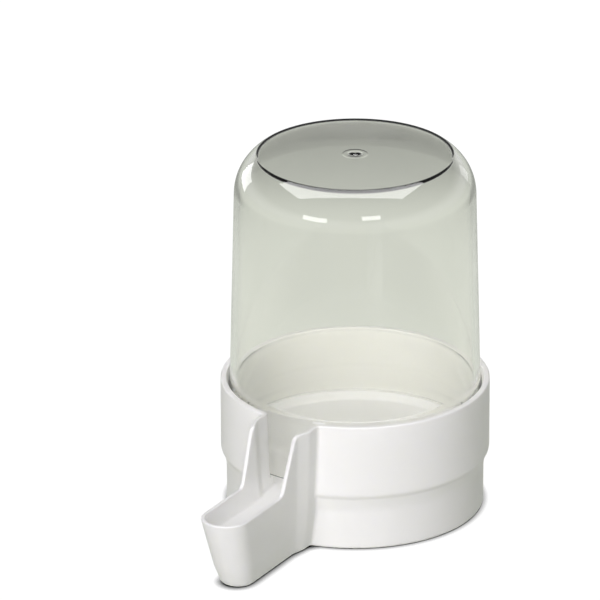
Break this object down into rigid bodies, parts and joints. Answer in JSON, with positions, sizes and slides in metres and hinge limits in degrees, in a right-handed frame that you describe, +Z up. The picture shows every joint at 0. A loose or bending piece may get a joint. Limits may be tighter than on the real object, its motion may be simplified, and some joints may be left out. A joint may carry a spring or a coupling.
{
  "type": "bird water drinker",
  "caption": "Siphon drinker for cage birds: a clear upturned cup stands in a white dish that feeds a narrow drinking trough.",
  "frame": {"origin": "on the cup's axis, in the plane of the foot's lower edge that the drinker stands on", "axes": "+Z up along the cup's axis, -Y out along the drinking trough"},
  "size_m": [0.075, 0.1161, 0.1037],
  "materials": {
    "white_plastic": "gloss",
    "clear_plastic": "gloss"
  },
  "bodies": {
    "base": {"base": "white_plastic"},
    "reservoir": {"reservoir": "clear_plastic"}
  },
  "joints": [
    {"name": "reservoir_lift", "type": "slide", "parent": "base", "child": "reservoir", "axis": [0, 0, 1], "range_m": [0, 0.025]}
  ]
}
